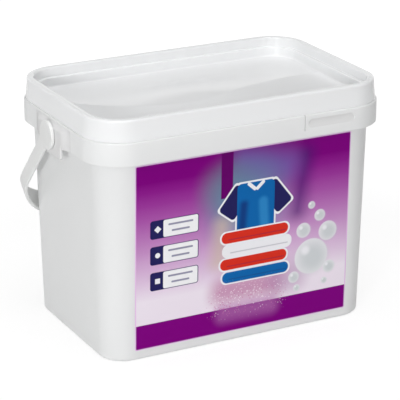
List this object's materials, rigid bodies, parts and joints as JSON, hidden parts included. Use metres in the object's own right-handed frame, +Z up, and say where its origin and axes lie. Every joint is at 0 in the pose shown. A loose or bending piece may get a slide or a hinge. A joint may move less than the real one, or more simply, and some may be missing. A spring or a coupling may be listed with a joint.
{
  "type": "rectangular lidded tub of laundry powder sachets",
  "caption": "Rectangular white tub with a press-on lid, a swinging bail handle and a printed front label, holding single-dose laundry powder sachets.",
  "frame": {"origin": "centre of the tub's base, on the surface it stands on", "axes": "+X along the tub, to the right as the label is read; +Y towards the back, where the handle hangs; +Z up"},
  "size_m": [0.2754, 0.1838, 0.2049],
  "materials": {
    "tub_plastic": "satin white polypropylene",
    "lid_plastic": "satin white polypropylene",
    "handle_plastic": "satin white polypropylene",
    "label_film": "printed film, satin gloss",
    "sachet_film": "heat-sealed white film over powder"
  },
  "bodies": {
    "tub": {"tub": "tub_plastic", "front_label": "label_film", "sachet_01": "sachet_film", "sachet_02": "sachet_film", "sachet_03": "sachet_film", "sachet_04": "sachet_film", "sachet_05": "sachet_film", "sachet_06": "sachet_film", "sachet_07": "sachet_film", "sachet_08": "sachet_film", "sachet_09": "sachet_film", "sachet_10": "sachet_film", "sachet_11": "sachet_film", "sachet_12": "sachet_film", "sachet_13": "sachet_film", "sachet_14": "sachet_film", "sachet_15": "sachet_film", "sachet_16": "sachet_film", "sachet_17": "sachet_film", "sachet_18": "sachet_film", "sachet_19": "sachet_film", "sachet_20": "sachet_film", "sachet_21": "sachet_film", "sachet_22": "sachet_film", "sachet_23": "sachet_film", "sachet_24": "sachet_film", "sachet_25": "sachet_film", "sachet_26": "sachet_film", "sachet_27": "sachet_film", "sachet_28": "sachet_film", "sachet_29": "sachet_film", "sachet_30": "sachet_film", "sachet_31": "sachet_film", "sachet_32": "sachet_film", "sachet_33": "sachet_film", "sachet_34": "sachet_film", "sachet_35": "sachet_film", "sachet_36": "sachet_film", "sachet_37": "sachet_film", "sachet_38": "sachet_film", "sachet_39": "sachet_film", "sachet_40": "sachet_film", "sachet_41": "sachet_film", "sachet_42": "sachet_film", "sachet_43": "sachet_film", "sachet_44": "sachet_film", "sachet_45": "sachet_film", "sachet_46": "sachet_film", "sachet_47": "sachet_film", "sachet_48": "sachet_film", "sachet_49": "sachet_film", "sachet_50": "sachet_film"},
    "lid": {"lid": "lid_plastic"},
    "handle": {"bail_handle": "handle_plastic"}
  },
  "joints": [
    {"name": "lid_lift", "type": "slide", "parent": "tub", "child": "lid", "axis": [0, 0, 1], "range_m": [0, 0.12]},
    {"name": "handle_swing", "type": "hinge", "parent": "tub", "child": "handle", "pos_m": [0, 0, 0.1745], "axis": [1, 0, 0], "range_deg": [0, 270]}
  ]
}
